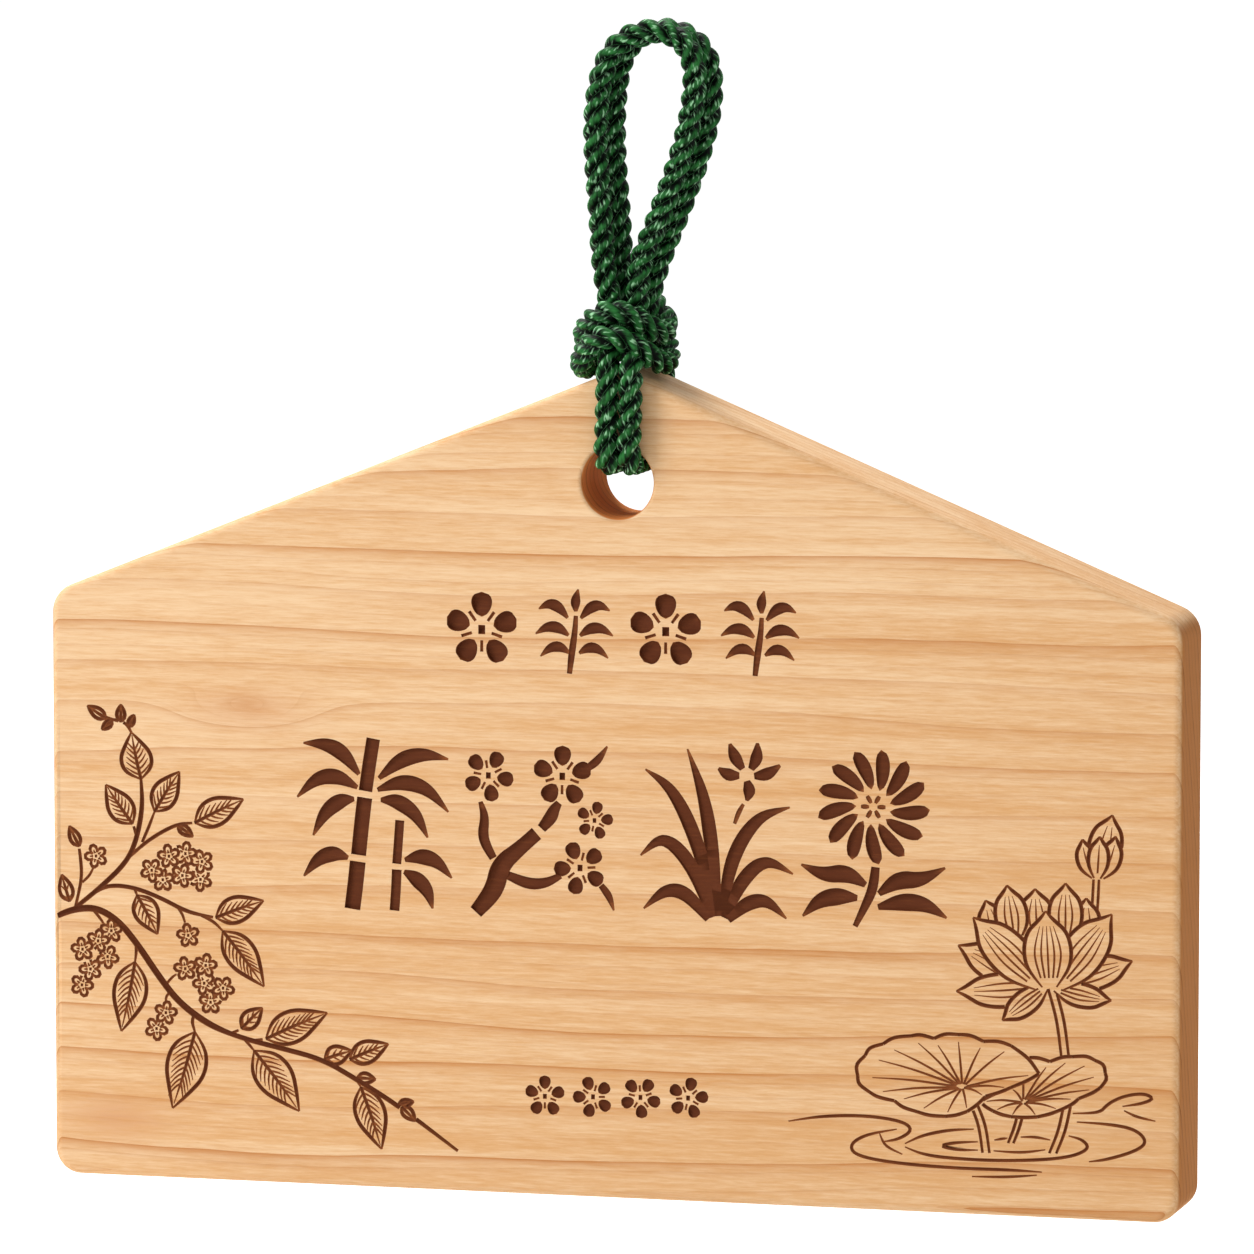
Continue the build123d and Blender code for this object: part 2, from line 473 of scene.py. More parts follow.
def make_wood():
    """Planed softwood: rings, fibres, a flame and a smudge on the face, and darker end grain and hole."""
    material, shader, place = new_material("planed_softwood")
    hole_x, hole_z = APEX.x / MM, APEX.z / MM - HOLE_BELOW_APEX
    parts = place.add("ShaderNodeSeparateXYZ", {}, {0: place})
    x, y, z = [Field(parts.socket.node.outputs[n]) for n in range(3)]
    # The ring number grows with height and depth, and slow noise bends it.
    slow = noise(place, (0.006, 0.02, 0.03))
    wave = noise(place, (0.02, 0.1, 0.12), 3.0)
    flame = patch(x, z, FLAME_PLACE, FLAME_SIZE)
    ring = z / RING_HEIGHT + y / RING_DEPTH + slow * 2.0 + wave * 0.35 + flame * 1.1
    share = ring.sum("FRACT", ring)
    number = ring.sum("FLOOR", ring)
    # Each ring ends in a dark line, of its own strength and broken here and there.
    odd = number.add("ShaderNodeTexWhiteNoise", {"noise_dimensions": "1D"}, {"W": number})
    thin = ring * 2.6 + odd
    thin = thin.sum("FRACT", thin) ** 9.0 * 0.4
    broken = 0.8 + noise(place, (0.03, 0.5, 0.5), 3.0) * 1.4
    late = (share**11.0 * 0.95 + share**3.0 * 0.25 + thin) * (0.35 + odd * 0.55) * broken
    # Fibres, streaks and flecks run along the board.
    fibre = noise(place, (0.25, 3.6, 3.6), 4.0, 0.7)
    streak = noise(place, (0.012, 0.3, 0.4), 3.0)
    fleck = noise(place, (0.3, 6.0, 6.0), 2.0).fade(0.14, 0.28)
    # The sides show end grain, and so does the wall of the hole.
    facing = x.add("ShaderNodeSeparateXYZ", {}, {0: x.add("ShaderNodeTexCoord", {}, {}, 1)})
    end_grain = facing.sum("ABSOLUTE", facing).fade(0.7, 0.95)
    from_hole = ((x - hole_x) ** 2.0 + (z - hole_z) ** 2.0) ** 0.5
    bored = 1.0 - from_hole.fade(*HOLE_WALL)
    end_grain = end_grain.sum("MAXIMUM", end_grain, bored)
    # The colours go from the pale face to the darkest line.
    heart = (x * 0.6 - z).fade(-10.0, 190.0)
    pale = (streak * 1.3 + fibre * 1.6 + 0.66 - heart * 0.45).fade(-0.2, 1.1)
    base = pale.tint(colour(228, 172, 114), colour(251, 214, 170))
    red = patch(x, z, SMUDGE_PLACE, SMUDGE_SIZE) * (0.35 + fibre) + flame * 0.3
    base = red.tint(base, colour(205, 128, 78))
    base = (end_grain * 0.95).tint(base, colour(195, 127, 70))
    base = bored.tint(base, colour(234, 145, 78))
    dark = end_grain.tint(colour(200, 128, 66), colour(124, 70, 32))
    feed(shader, "Base Color", (late + fleck * 0.22).tint(base, dark))
    feed(shader, "Roughness", 0.55 + fibre * 0.2 + end_grain * 0.3)
    height = fibre * 0.8 + late * -0.5
    raised = x.add("ShaderNodeBump", {}, {"Strength": 0.6, "Distance": 0.1 * MM, "Height": height})
    feed(shader, "Normal", raised)
    shader.inputs["Specular IOR Level"].default_value = 0.08
    return material


wood = make_wood()
print(wood.name, len(wood.node_tree.nodes), "nodes")

# %% [markdown]
# ## Cord yarn
# The cord is dyed cotton or viscose with a soft sheen. The yarns in a strand are twisted against the lay, so
# the fine fibres that show lie in line with the rope. A pattern in space would run across them, so this one
# uses the marks that the rope carries, along and across its strands. The colour is darker in the valleys
# between strands than on the crowns: that is painted shade, the lighter crowns are painted sheen, and bright
# specks on the fibres are painted highlights.


# %% Cord material
def make_yarn():
    """Dyed yarn: painted shade in the valleys, lighter crowns as painted sheen, and painted highlights on the
    fibres.
    """
    material, shader, place = new_material("dyed_yarn")
    across = place.add("ShaderNodeAttribute", {"attribute_name": "strand_across"}, {}, 2)
    along = place.add("ShaderNodeAttribute", {"attribute_name": "length_along"}, {}, 2)
    # This undoes the lay, so that the fibres lie in line with the rope.
    straight = across + along * (2 * ROPE_STRANDS / (ROPE_LAY / MM))
    mark = place.add("ShaderNodeCombineXYZ", {}, {0: straight, 1: along})
    fibre = noise(mark, (3.2, 0.7, 1.0), 2.0, 0.6)
    # Painted highlight: bright specks on the fibres, painted into the colour.
    painted_glint = noise(mark, (4.0, 1.0, 1.0), 1.0).fade(0.05, 0.2)
    mottle = noise(place, (0.6, 0.6, 0.6), 2.0)
    crown = 1.0 - across**2.0
    # Painted shade and sheen: the colour is dark in the valleys between strands and lighter on the crowns;
    # the fibres and mottle are the yarn's own tone.
    shade = (crown * 1.15 + fibre * 1.7 + mottle * 0.3 - 0.5).fade(0.1, 1.05)
    body = shade.tint(colour(0, 6, 1), colour(50, 124, 60))
    # The bright specks on the crowns are a painted highlight in the colour.
    feed(shader, "Base Color", (painted_glint * crown * 0.95).tint(body, colour(166, 224, 172)))
    height = fibre + painted_glint * 0.4 + crown * 0.4
    raised = place.add("ShaderNodeBump", {}, {"Strength": 0.8, "Distance": 0.18 * MM, "Height": height})
    feed(shader, "Normal", raised)
    shader.inputs["Roughness"].default_value = 0.5
    shader.inputs["Specular IOR Level"].default_value = 0.08
    return material


yarn = make_yarn()
for rope in ropes.values():
    rope.data.materials.append(yarn)
print(yarn.name, len(yarn.node_tree.nodes), "nodes")

# %% [markdown]
# ## Board
# The board is sawn, bored and softened at its edges. It could be modelled again here, but the frame's node
# already has its true size, so a merged copy of that node is what the carving cuts.


# %% Copy the board
BOARD_WELD = 0.002 * MM


def only(piece):
    """Make a piece the only one that is selected, and active."""
    bpy.ops.object.select_all(action="DESELECT")
    piece.select_set(True)
    bpy.context.view_layer.objects.active = piece


def copy_node(name):
    """A merged copy of one of the frame's nodes, in place, with no parent."""
    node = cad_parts[name]
    copy = bpy.data.objects.new(name + "_carved", node.data.copy())
    bpy.context.scene.collection.objects.link(copy)
    copy.data.transform(node.matrix_world)
    only(copy)
    bpy.ops.object.mode_set(mode="EDIT")
    bpy.ops.mesh.select_all(action="SELECT")
    bpy.ops.mesh.remove_doubles(threshold=BOARD_WELD)
    bpy.ops.object.mode_set(mode="OBJECT")
    return copy


board = copy_node("board")
board.data.materials.clear()
board.data.materials.append(wood)
print(board.name, len(board.data.polygons), "faces")

# %% [markdown]
# ## Carving
# The front is carved by a laser or a gouge: fine drawn lines for the plants in the corners, and broad strokes
# that swell and taper for the ornaments in the middle. A picture on the surface would be flat, so every
# stroke is really cut. A stroke is a curve with a section that is as wide as the stroke, laid on the face of
# the board and taken away. The section shrinks with the width, so a thin end is also a shallow one, as with a
# real tool. What is drawn first lies in front: its outline is kept as a cover, and later lines stop where
# they go under it.

# %% Strokes, in millimetres from the middle of the hole and up from the bottom edge
STROKE_STEP = 0.3
CORNER_CUTS = 3
COVER_POINTS = 20
BLOSSOM_PETALS = 5
LEAF_BEND = 0.06
LEAF_EDGE = 0.52
PETAL_EDGE = 0.5
VEIN = 0.28
STEM_EDGE = 0.42
fine_cuts = []
bold_cuts = []
covers = []


def softened(points, halves):
    """A stroke with its corners cut off, at even steps: two columns of place and one of half width."""
    spots = np.column_stack([np.array(points, float), halves])
    for _ in range(CORNER_CUTS):
        near, far = spots[:-1], spots[1:]
        cut = np.stack([near * 0.75 + far * 0.25, near * 0.25 + far * 0.75], axis=1).reshape(-1, 3)
        spots = np.concatenate([spots[:1], cut[1:-1], spots[-1:]])
    reach = np.r_[0, np.cumsum(np.linalg.norm(np.diff(spots[:, :2], axis=0), axis=1))]
    steps = np.linspace(0, reach[-1], max(4, int(reach[-1] / STROKE_STEP)))
    return np.column_stack([np.interp(steps, reach, column) for column in spots.T])


def inside(spots, outline):
    """Which spots lie inside an outline."""
    x, h = spots[:, :1], spots[:, 1:2]
    near, far = outline, np.roll(outline, -1, axis=0)
    crosses = (near[:, 1] > h) != (far[:, 1] > h)
    slope = (far[:, 0] - near[:, 0]) / np.where(far[:, 1] == near[:, 1], 1.0, far[:, 1] - near[:, 1])
    return (crosses & (x < near[:, 0] + (h - near[:, 1]) * slope)).sum(axis=1) % 2 == 1


def line(points, width, first=0.45, last=0.45):
    """A fine drawn line: its width, and the share of it that is left at the first and last points."""
    halves = np.full(len(points), width / 2)
    halves[0], halves[-1] = halves[0] * first, halves[-1] * last
    spots = softened(points, halves)
    shown = np.ones(len(spots), bool)
    for outline in covers:
        shown &= ~inside(spots, outline)
    for run in np.split(np.arange(len(spots)), np.flatnonzero(np.diff(shown.astype(int))) + 1):
        if shown[run[0]] and len(run) > 2:
            fine_cuts.append(spots[run])
    return spots[:, :2]


def brush(points, width, first=0.25, last=0.12):
    """A broad stroke that swells and tapers."""
    shares = np.sin(np.linspace(0.25, 1, len(points)) * math.pi) ** 0.6
    shares[0], shares[-1] = first, last
    bold_cuts.append(softened(points, np.maximum(shares, 0.08) * width / 2))


def across(base, tip, along, out):
    """A point part of the way from a base to a tip, and out to the left of that way."""
    base, tip = np.array(base, float), np.array(tip, float)
    way = tip - base
    return base + way * along + np.array((-way[1], way[0])) * out


def shape(base, tip, edge, bend, width):
    """Two bowed edges from a base to a tip, and the outline that they make."""
    edges = []
    for side in (-1, 1):
        spots = [across(base, tip, a, side * o + bend * a * (1 - a)) for a, o in edge]
        edges.append(line(spots, width))
    return np.concatenate([edges[0], edges[1][::-1]])


def leaf(base, tip, width, veins):
    """A pointed leaf: two bowed edges, a middle rib and slanting veins. Widths are shares of its length."""
    half = width / 2
    edge = [(0.0, 0.0), (0.2, half * 1.1), (0.5, half * 1.3), (0.8, half * 0.55), (1.0, 0.0)]
    outline = shape(base, tip, edge, LEAF_BEND, LEAF_EDGE)
    for side in (-1, 1):
        for n in range(veins):
            start = 0.10 + 0.64 * n / veins
            out = side * half * (0.98 - 0.55 * n / veins)
            vein = [(start, LEAF_BEND * 0.2), (start + 0.07, out * 0.5), (start + 0.20, out)]
            line([across(base, tip, a, o) for a, o in vein], VEIN, 0.9, 0.4)
    line([base, across(base, tip, 0.5, LEAF_BEND * 0.25), across(base, tip, 0.94, 0.0)], 0.45, 1.0, 0.3)
    covers.append(outline)


def around(centre, radius, angle):
    """A point at an angle round a centre."""
    return centre[0] + radius * math.cos(angle), centre[1] + radius * math.sin(angle)


def floret(centre, radius, turn):
    """A small open blossom: bowed petal edges in a ring, a stroke in the heart of each, and a round eye."""
    half = math.pi / BLOSSOM_PETALS
    for n in range(BLOSSOM_PETALS):
        angle = turn + 2 * half * n
        edge = [(-0.9, 0.4), (-0.85, 0.95), (0.0, 1.35), (0.85, 0.95), (0.9, 0.4)]
        line([around(centre, radius * r, angle + a * half) for a, r in edge], 0.42)
        line([around(centre, radius * r, angle) for r in (0.32, 0.7)], 0.32, 1.0, 0.5)
    line([around(centre, 0.14 * radius, 0), around(centre, 0.14 * radius, math.pi)], 0.34 * radius, 1.0, 1.0)
    ring = [turn + 2 * math.pi * n / COVER_POINTS for n in range(COVER_POINTS)]
    covers.append(np.array([around(centre, 1.12 * radius, angle) for angle in ring]))


print("strokes ready")

# %% [markdown]
# A flowering branch comes in from the left edge and forks. One arm climbs and the other sweeps down along the
# bottom. The blossoms lie over the leaves and the leaves over the stems, so they are drawn in that order.

# %% Blossoms and leaves of the branch
clusters = [
    [(-56.3, 39.6), (-54.2, 40.0), (-58.5, 37.8), (-52.1, 39.1), (-57.1, 36.7), (-54.6, 37.3), (-52.3, 36.9)],
    [(-67.4, 27.8), (-65.4, 28.9), (-64.2, 27.0), (-66.4, 25.4), (-63.7, 30.2), (-67.5, 23.4)],
    [(-54.3, 25.9), (-51.7, 26.4), (-49.5, 23.7), (-51.9, 24.2), (-51.1, 21.9)],
    [(-53.9, 30.0), (-56.8, 20.4), (-58.0, 18.4), (-65.6, 39.3)],
]
for cluster in clusters:
    for n, centre in enumerate(cluster):
        floret(centre, 1.15, 0.5 + 0.9 * n)
for base, tip, width, veins in [
    ((-59.8, 48.9), (-61.0, 54.6), 0.54, 6),
    ((-60.9, 43.4), (-64.3, 48.1), 0.44, 6),
    ((-58.1, 45.0), (-54.9, 50.0), 0.42, 6),
    ((-53.0, 43.8), (-46.8, 46.9), 0.38, 6),
    ((-60.4, 34.7), (-57.8, 30.0), 0.46, 5),
    ((-50.4, 32.3), (-44.3, 34.6), 0.38, 6),
    ((-49.5, 30.7), (-44.3, 24.1), 0.36, 8),
    ((-60.7, 26.5), (-62.5, 17.9), 0.38, 8),
    ((-53.1, 18.2), (-56.0, 8.7), 0.40, 9),
    ((-44.1, 17.7), (-36.3, 21.2), 0.36, 8),
    ((-45.6, 16.2), (-39.9, 9.0), 0.40, 8),
    ((-36.7, 15.5), (-33.2, 16.7), 0.48, 3),
    ((-33.5, 15.6), (-28.6, 17.7), 0.40, 5),
    ((-32.1, 12.3), (-29.5, 4.8), 0.38, 7),
    ((-47.2, 18.8), (-44.5, 21.5), 0.44, 3),
    ((-67.7, 40.4), (-69.0, 42.9), 0.36, 1),
    ((-69.0, 33.6), (-70.0, 36.9), 0.40, 2),
    ((-55.2, 43.4), (-53.2, 42.1), 0.36, 1),
    ((-62.3, 55.8), (-62.3, 58.0), 0.38, 1),
    ((-64.2, 56.2), (-66.6, 57.7), 0.34, 1),
    ((-63.4, 56.0), (-64.8, 54.8), 0.36, 0),
    ((-61.3, 55.2), (-60.6, 56.8), 0.34, 0),
    ((-32.6, 13.4), (-30.2, 13.3), 0.42, 1),
    ((-27.0, 10.1), (-25.2, 8.4), 0.40, 1),
    ((-27.4, 10.3), (-25.4, 10.8), 0.34, 0),
]:
    leaf(base, tip, width, veins)
print("blossoms and leaves", len(fine_cuts), "strokes")

# %% [markdown]
# The stems come last, because they go under everything else. The main one is heavy where the branch comes in
# and thinner beyond the fork, so it is drawn as two lines that overlap.

# %% Stems of the branch
main_stem = [(-70.6, 31.8), (-68.5, 32.7), (-65.6, 33.0), (-62.8, 31.5)]
main_stem += [(-60.3, 28.6), (-57.5, 24.6), (-55.0, 21.6)]
lower_stem = [(-51.1, 19.0), (-46.9, 17.6), (-42.0, 16.6), (-37.0, 15.5)]
lower_stem += [(-32.8, 13.3), (-27.2, 10.1), (-19.9, 5.0)]
for stem, width in [
    (main_stem + lower_stem[:2], 0.85),
    (main_stem[-1:] + lower_stem, 0.65),
    ([(-68.5, 32.7), (-64.9, 35.6), (-61.7, 38.7), (-60.4, 41.5), (-59.6, 45.6), (-59.8, 48.9)], 0.65),
    ([(-61.0, 54.6), (-61.6, 55.6), (-62.3, 55.9), (-64.0, 56.2), (-66.2, 57.3)], 0.42),
    ([(-61.3, 39.4), (-58.8, 41.6), (-55.3, 43.6), (-53.0, 43.8)], 0.5),
    ([(-60.3, 41.6), (-60.6, 42.6), (-60.9, 43.5)], 0.45),
    ([(-59.7, 41.2), (-58.8, 43.2), (-58.1, 45.0)], 0.45),
    ([(-66.2, 34.6), (-64.2, 35.8), (-61.0, 35.7), (-57.4, 34.5), (-53.9, 32.8), (-50.4, 32.3)], 0.55),
    ([(-52.2, 32.5), (-50.6, 31.8), (-49.5, 30.7)], 0.45),
    ([(-55.4, 33.6), (-54.6, 32.6), (-54.2, 31.2)], 0.4),
    ([(-60.8, 35.7), (-60.6, 35.2), (-60.4, 34.7)], 0.42),
    ([(-68.3, 32.9), (-67.4, 36.5), (-67.6, 39.4), (-68.0, 41.4)], 0.45),
    ([(-67.4, 36.0), (-66.4, 36.9), (-65.8, 38.2)], 0.38),
    ([(-66.2, 32.9), (-65.2, 31.8), (-64.5, 30.8)], 0.42),
    ([(-60.6, 29.0), (-60.5, 27.8), (-60.7, 26.5)], 0.45),
    ([(-56.2, 23.0), (-56.8, 22.4), (-56.8, 21.4)], 0.38),
    ([(-56.8, 23.8), (-56.0, 24.8), (-55.4, 25.2)], 0.38),
    ([(-48.6, 18.2), (-48.0, 18.4), (-47.2, 18.8)], 0.42),
    ([(-46.0, 17.4), (-45.2, 17.5), (-44.1, 17.7)], 0.42),
    ([(-46.8, 17.5), (-46.2, 16.9), (-45.6, 16.2)], 0.42),
    ([(-53.2, 20.4), (-53.5, 19.4), (-53.1, 18.2)], 0.48),
    ([(-33.4, 13.7), (-32.6, 13.1), (-32.1, 12.3)], 0.4),
]:
    line(stem, width, 0.85, 0.6)
print("branch", len(fine_cuts), "strokes")

# %% [markdown]
# A lotus stands in water in the right corner: an open flower, a bud, two leaves like dishes and the ripples
# round them. Whole petals would cross each other, so the front ones are drawn first and cover those behind.


# %% Lotus flower
def petal(base, tip, width, bend, veins):
    """A pointed lotus petal with a few lines along it. Widths are shares of its length."""
    half = width / 2
    edge = [(0.0, half * 0.35), (0.3, half * 1.2), (0.7, half * 1.1), (0.9, half * 0.28), (1.0, 0.0)]
    outline = shape(base, tip, edge, bend, PETAL_EDGE)
    for n in range(veins):
        out = width * (n - (veins - 1) / 2) / (veins + 1)
        vein = [(0.12, out * 0.6), (0.45, out * 1.1), (0.8, out * 0.5)]
        line([across(base, tip, a, o + bend * a * (1 - a)) for a, o in vein], VEIN, 0.9, 0.3)
    covers.append(outline)


for base, tip, width, bend, veins in [
    ((53.0, 27.8), (52.5, 36.9), 0.54, 0.0, 5),
    ((51.8, 28.0), (43.7, 35.8), 0.38, 0.0, 4),
    ((54.1, 28.0), (60.5, 36.8), 0.40, 0.0, 4),
    ((52.5, 27.8), (47.3, 23.6), 0.36, 0.0, 3),
    ((52.4, 27.9), (41.7, 26.9), 0.32, 0.1, 3),
    ((53.6, 27.8), (60.5, 26.5), 0.34, -0.14, 3),
    ((51.0, 28.2), (41.9, 32.4), 0.36, 0.0, 3),
    ((54.8, 28.2), (63.0, 31.3), 0.36, 0.0, 3),
    ((48.8, 33.2), (47.8, 39.8), 0.50, 0.0, 3),
    ((54.9, 33.4), (54.9, 40.3), 0.50, 0.0, 3),
    ((51.5, 33.4), (51.2, 39.5), 0.58, 0.0, 3),
    ((47.2, 32.4), (45.2, 37.9), 0.52, 0.0, 2),
    ((57.4, 33.0), (57.4, 38.6), 0.52, 0.0, 2),
    ((58.7, 41.0), (59.0, 46.0), 0.42, 0.0, 1),
    ((58.4, 41.1), (56.9, 45.6), 0.40, 0.3, 1),
    ((59.1, 41.1), (60.9, 46.1), 0.40, -0.3, 1),
    ((58.9, 41.8), (60.5, 48.6), 0.48, 0.0, 2),
]:
    petal(base, tip, width, bend, veins)
for side in (-0.33, 0.33):
    line([(58.6 + side, 41.2), (58.5 + side, 38.7), (58.3 + side, 35.0)], 0.4, 0.8, 0.6)
print("lotus flower", len(fine_cuts), "strokes")

# %% [markdown]
# The leaves of the lotus are dishes seen from the side. A circle turned on its side would look stiff, so each
# rim is a short list of points, with a bow between each two. The ribs run out from the heart to
# those points.


# %% Lotus leaves and ripples
def pad(rim, heart):
    """A lotus leaf seen from the side: its waving rim, and ribs from the heart that stop short of the rim."""
    spots, core = np.array(rim), np.array(heart)
    edges = []
    for first, second in zip(spots, np.roll(spots, -1, axis=0)):
        middle = (first + second) / 2
        edges.append(line([first, middle + (middle - core) * 0.06, second], 0.48, 0.9, 0.9))
    for spot in spots:
        way = spot - core
        line([core + way * 0.06, core + way * 0.5 + (0.0, 0.25), core + way * 0.86], 0.3, 1.0, 0.4)
    covers.append(np.concatenate(edges))


left_rim = [(29.7, 16.2), (30.6, 18.7), (32.8, 20.2), (36.2, 21.3), (39.0, 21.1), (41.9, 21.7)]
left_rim += [(45.0, 21.0), (48.4, 20.6), (51.8, 17.4), (48.4, 15.6), (45.3, 14.4), (43.1, 12.5)]
left_rim += [(40.4, 11.8), (37.0, 12.2), (34.2, 13.4), (31.2, 14.3)]
pad(left_rim, (42.5, 15.4))
right_rim = [(49.9, 19.2), (53.1, 18.9), (55.8, 19.6), (58.5, 19.3), (59.8, 17.8), (59.2, 16.0)]
right_rim += [(56.6, 14.6), (54.5, 13.2), (51.6, 12.2), (48.4, 12.1), (46.2, 12.7), (44.7, 13.8)]
right_rim += [(48.4, 15.6)]
pad(right_rim, (49.9, 13.9))
for stem, half in [
    ([(53.3, 27.6), (54.4, 23.9), (55.0, 19.0)], 0.45),
    ([(43.4, 14.4), (44.9, 11.2), (45.4, 7.6)], 0.42),
    ([(49.5, 12.2), (49.1, 10.7), (48.4, 8.9)], 0.32),
    ([(55.2, 13.6), (54.6, 10.6), (53.5, 7.9)], 0.42),
]:
    for side in (-half, half):
        line([(x + side, h) for x, h in stem], STEM_EDGE, 0.9, 0.8)
for ripple in [
    [(21.2, 10.4), (25.3, 11.2), (30.7, 11.5), (35.2, 11.0), (36.5, 10.0), (34.8, 8.8), (32.8, 8.4)],
    [(34.5, 10.0), (30.7, 9.2), (28.7, 7.9), (29.4, 6.6), (34.2, 5.9), (41.7, 5.6), (48.4, 5.7), (52.2, 5.6)],
    [(51.6, 5.2), (48.0, 4.8), (43.7, 4.7)],
    [(32.4, 9.4), (33.0, 7.9), (35.2, 7.0)],
    [(35.5, 8.3), (37.6, 9.4), (41.0, 10.2), (43.9, 10.4)],
    [(35.5, 7.9), (37.9, 7.0), (43.0, 6.7), (49.1, 6.8), (55.2, 7.4), (58.0, 8.6), (57.2, 9.7), (55.4, 10.1)],
    [(44.4, 8.9), (41.6, 8.7), (39.6, 8.2), (42.0, 7.8), (44.4, 7.9)],
    [(46.4, 9.2), (47.4, 9.4), (48.0, 9.5)],
    [(49.6, 9.7), (51.4, 9.8), (53.2, 9.5)],
    [(46.3, 7.9), (49.8, 7.8), (52.6, 8.3)],
    [(55.9, 12.8), (59.2, 13.0), (60.1, 14.1), (61.9, 15.1)]
    + [(64.4, 15.6), (65.8, 15.0), (64.2, 14.3), (61.9, 13.9)],
    [(62.1, 13.4), (63.6, 12.7), (65.9, 12.3)],
    [(56.4, 11.8), (60.5, 11.7), (63.6, 11.2), (65.0, 9.7), (63.3, 8.5), (59.9, 7.4), (57.9, 7.1)],
]:
    line(ripple, STEM_EDGE, 0.4, 0.4)
print("all fine strokes", len(fine_cuts))

# %% [markdown]
# Four plants of the seasons stand in a row across the middle, in broad strokes: bamboo, plum, orchid and
# aster. Outlines would look thin from across a room, so these are filled strokes with a flat floor. Small
# blossoms and sprigs in a row above them, and four blossoms below, repeat them at smaller sizes.


# %% Bamboo and plum
ROUND_STEPS = 11


def shifted(points, centre):
    """Points about a centre, set down on the board."""
    return [(centre[0] + a, centre[1] + b) for a, b in points]


bamboo = (-30.4, 44.4)
for joint, width in [
    ([(-2.7, -10.4), (-2.3, -7.4), (-2.0, -4.6)], 2.1),
    ([(-1.9, -3.8), (-1.5, 0.0), (-1.1, 3.2)], 2.0),
    ([(-1.0, 4.0), (-0.6, 6.8), (0.0, 10.4)], 1.8),
    ([(2.6, -10.4), (2.8, -7.8), (2.9, -5.4)], 1.3),
    ([(2.9, -4.7), (3.1, -2.2), (3.3, 0.6)], 1.2),
]:
    brush(shifted(joint, bamboo), width, 0.95, 0.95)
for blade in [
    [(0.5, 4.2), (3.6, 5.4), (6.8, 4.6), (9.4, 1.8)],
    [(0.9, 3.0), (3.0, 3.0), (5.4, 1.4), (6.8, -1.4)],
    [(0.7, 5.6), (3.4, 8.0), (6.4, 8.8), (9.4, 8.2)],
    [(-2.0, 4.4), (-4.6, 5.8), (-7.2, 5.4), (-9.6, 3.0)],
    [(-2.4, 3.0), (-4.2, 2.8), (-6.2, 1.2), (-7.6, -1.6)],
    [(-1.8, 6.0), (-3.8, 8.6), (-6.0, 9.6), (-8.8, 9.6)],
    [(3.9, -4.2), (6.0, -3.6), (8.0, -4.2), (9.8, -6.2)],
    [(3.8, -5.6), (5.4, -6.4), (6.8, -7.8), (7.4, -10.0)],
    [(-3.2, -4.2), (-5.0, -3.6), (-7.0, -4.4), (-8.8, -6.6)],
]:
    brush(shifted(blade, bamboo), 2.1)


def round_petal(points, half):
    """A broad stroke with round ends, a little wider towards its last point."""
    steps = np.linspace(0, 1, len(points))
    halves = half * np.sqrt(1 - (2 * steps - 1) ** 2) * (0.7 + 0.4 * steps)
    bold_cuts.append(np.column_stack([points, np.maximum(halves, 0.03)]))


def blossom(centre, radius, turn):
    """Round petals in broad strokes about an eye, with fine threads between them."""
    reaches = radius * np.linspace(0.36, 1.06, ROUND_STEPS)
    for n in range(BLOSSOM_PETALS):
        angle = turn + 2 * math.pi * n / BLOSSOM_PETALS
        round_petal([around(centre, reach, angle) for reach in reaches], radius * 0.33)
        thread = [around(centre, radius * r, angle + math.pi / BLOSSOM_PETALS) for r in (0.3, 0.62)]
        line(thread, 0.07 * radius + 0.16, 0.8, 0.9)
    line([around(centre, 0.1 * radius, 0), around(centre, 0.1 * radius, math.pi)], 0.26 * radius, 1.0, 1.0)


# The plants in the corners are finished, so their covers are put away.
covers.clear()
plum = (-9.4, 44.4)
for twig, width, last in [
    ([(-8.2, -10.2), (-5.8, -7.4), (-5.2, -4.4), (-2.6, -2.2), (-0.6, -0.4)], 2.5, 0.7),
    ([(0.0, 0.2), (1.2, 1.6), (1.6, 2.6), (2.2, 3.4)], 1.7, 0.5),
    ([(-6.0, -3.6), (-7.4, -1.2), (-7.0, 1.4), (-7.6, 3.2)], 1.4, 0.4),
    ([(-4.2, -5.6), (-1.6, -6.6), (0.6, -6.4), (2.4, -5.4)], 1.5, 0.5),
    ([(5.6, 7.6), (7.0, 8.6), (8.2, 10.4)], 1.2, 0.2),
    ([(7.4, -6.4), (8.4, -7.6), (9.0, -9.4)], 1.1, 0.2),
]:
    brush(shifted(twig, plum), width, 0.7, last)
for place, radius, turn in [
    ((2.6, 6.6), 3.5, 0.3),
    ((-6.6, 6.4), 3.0, 1.1),
    ((4.8, -4.4), 3.1, 0.7),
    ((6.6, 1.4), 2.2, 0.1),
]:
    blossom(*shifted([place], plum), radius, turn)
print("bold strokes", len(bold_cuts))

# %% [markdown]
# The orchid is a tuft of long blades with one bloom. The aster is one round stroke, repeated in a ring about
# its heart.

# %% Orchid and aster
ASTER_PETALS = 13
ASTER_HEART = 3.8
ASTER_HEART_STROKES = 6
orchid = (12.3, 44.4)
for blade in [
    [(-0.6, -9.8), (-3.0, -3.4), (-6.6, 0.0), (-9.4, -2.6)],
    [(-0.2, -9.6), (-2.2, -1.0), (-5.4, 5.6), (-8.8, 7.8)],
    [(0.2, -9.6), (-0.6, -1.0), (-1.6, 5.0), (-3.6, 10.4)],
    [(0.6, -9.6), (1.8, -2.4), (5.0, 2.6), (9.0, 3.8)],
    [(1.0, -9.8), (3.0, -5.2), (6.0, -2.4), (9.4, -4.2)],
    [(-1.0, -10.0), (-3.8, -6.8), (-6.4, -6.6), (-9.0, -9.0)],
    [(1.4, -10.0), (3.8, -7.8), (6.2, -7.4), (8.6, -9.6)],
]:
    brush(shifted(blade, orchid), 1.9, 0.5, 0.12)
